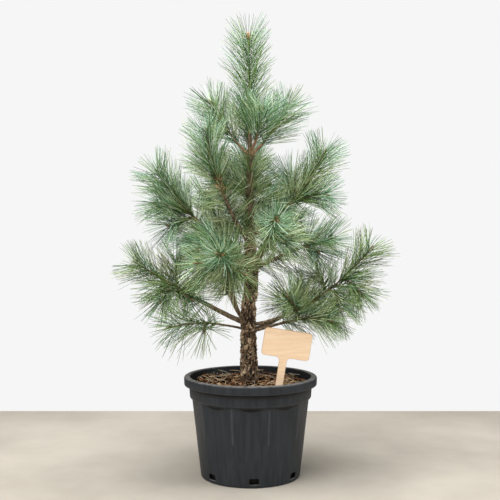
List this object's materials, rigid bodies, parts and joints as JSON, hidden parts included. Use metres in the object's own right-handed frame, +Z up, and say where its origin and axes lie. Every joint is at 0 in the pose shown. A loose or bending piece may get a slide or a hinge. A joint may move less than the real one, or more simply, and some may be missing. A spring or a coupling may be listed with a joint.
{
  "type": "potted pine tree",
  "caption": "Young long-needled pine with a bare lower trunk and whorled boughs, standing in a round dark plastic nursery pot with a blank wooden tag.",
  "frame": {"origin": "middle of the pot's flat underside", "axes": "+Z up along the trunk, +X to the right and -Y towards the viewer, as the plant is pictured"},
  "size_m": [0.7381, 0.6409, 1.1753],
  "materials": {
    "pot_plastic": "moulded, slightly satin, charcoal",
    "bark_mulch": "loose shredded bark and fallen needles",
    "tag_wood": "pale birch plywood, bare face, darker cut edge",
    "bark": "rough plated grey-brown bark, smoother on the boughs",
    "needles": "blue-green needles on orange-brown shoots"
  },
  "bodies": {
    "root": {"pot": "pot_plastic", "soil": "bark_mulch", "wooden_tag": "tag_wood", "trunk": "bark", "bough_left_low": "bark", "bough_left": "bark", "bough_front_left": "bark", "bough_front_right": "bark", "bough_right": "bark", "bough_back_right": "bark", "bough_back_left": "bark", "bough_mid_left": "bark", "bough_mid_front_left": "bark", "bough_mid_front": "bark", "bough_mid_right": "bark", "bough_mid_back_right": "bark", "bough_mid_back_left": "bark", "bough_upper_left": "bark", "bough_upper_right": "bark", "bough_upper_back": "bark", "needles_left_low": "needles", "needles_left": "needles", "needles_front_left": "needles", "needles_front_right": "needles", "needles_right": "needles", "needles_back_right": "needles", "needles_back_left": "needles", "needles_mid_left": "needles", "needles_mid_front_left": "needles", "needles_mid_front": "needles", "needles_mid_right": "needles", "needles_mid_back_right": "needles", "needles_mid_back_left": "needles", "needles_upper_left": "needles", "needles_upper_right": "needles", "needles_upper_back": "needles", "needles_top_left": "needles", "needles_top_front": "needles", "needles_top_right": "needles", "needles_top_back": "needles", "needles_inner_left": "needles", "needles_inner_right": "needles", "needles_inner_back": "needles", "needles_leader": "needles"}
  },
  "joints": []
}
